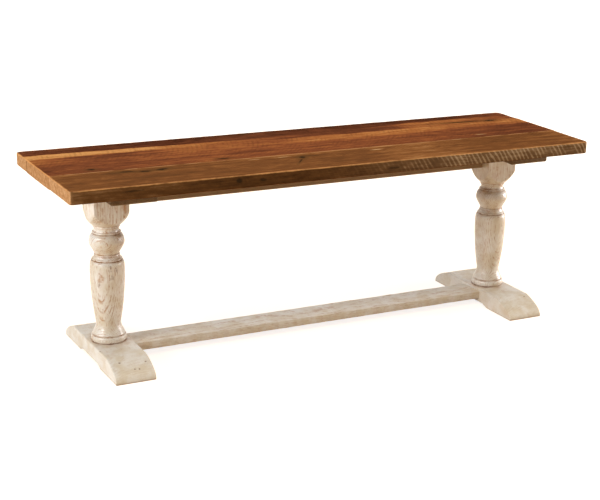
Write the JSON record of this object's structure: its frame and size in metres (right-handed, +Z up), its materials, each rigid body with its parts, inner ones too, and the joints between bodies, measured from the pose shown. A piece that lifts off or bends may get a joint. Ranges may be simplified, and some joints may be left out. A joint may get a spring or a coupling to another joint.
{
  "type": "trestle bench",
  "caption": "Trestle bench with an edge-glued plank seat on turned posts, shaped feet and a low flat stretcher.",
  "frame": {"origin": "on the floor under the middle of the seat", "axes": "+X along the seat, +Y towards the bench's back edge, +Z up"},
  "size_m": [1.34, 0.406, 0.457],
  "materials": {
    "plank_back": "dark red-brown reclaimed plank, satin",
    "plank_middle": "red-brown reclaimed plank with an orange band, satin",
    "plank_front": "brown reclaimed plank with saw marks, satin",
    "cleat_wood": "weathered dark wood, matt",
    "rail_wood": "plain brown wood, matt",
    "painted_wood": "antique cream over oak, brown glaze in grain and grooves, satin",
    "inner_wood": "bare wood, matt",
    "fastener_steel": "zinc-plated steel"
  },
  "bodies": {
    "root": {"seat_plank_back": "plank_back", "seat_plank_middle": "plank_middle", "seat_plank_front": "plank_front", "seam_tongue_back": "inner_wood", "seam_tongue_front": "inner_wood", "cleat_left": "cleat_wood", "cleat_right": "cleat_wood", "centre_rail": "rail_wood", "post_left": "painted_wood", "post_right": "painted_wood", "foot_left": "painted_wood", "foot_right": "painted_wood", "stretcher": "painted_wood", "stretcher_pin_left": "inner_wood", "stretcher_pin_right": "inner_wood", "foot_bolt_left": "fastener_steel", "foot_bolt_right": "fastener_steel", "foot_washer_left": "fastener_steel", "foot_washer_right": "fastener_steel", "cleat_screw_left_1": "fastener_steel", "cleat_screw_left_2": "fastener_steel", "cleat_screw_left_3": "fastener_steel", "cleat_screw_left_4": "fastener_steel", "cleat_screw_left_5": "fastener_steel", "cleat_screw_left_6": "fastener_steel", "cleat_screw_right_1": "fastener_steel", "cleat_screw_right_2": "fastener_steel", "cleat_screw_right_3": "fastener_steel", "cleat_screw_right_4": "fastener_steel", "cleat_screw_right_5": "fastener_steel", "cleat_screw_right_6": "fastener_steel", "post_screw_left_1": "fastener_steel", "post_screw_left_2": "fastener_steel", "post_screw_right_1": "fastener_steel", "post_screw_right_2": "fastener_steel", "rail_screw_1": "fastener_steel", "rail_screw_2": "fastener_steel", "rail_screw_3": "fastener_steel", "rail_screw_4": "fastener_steel"}
  },
  "joints": []
}
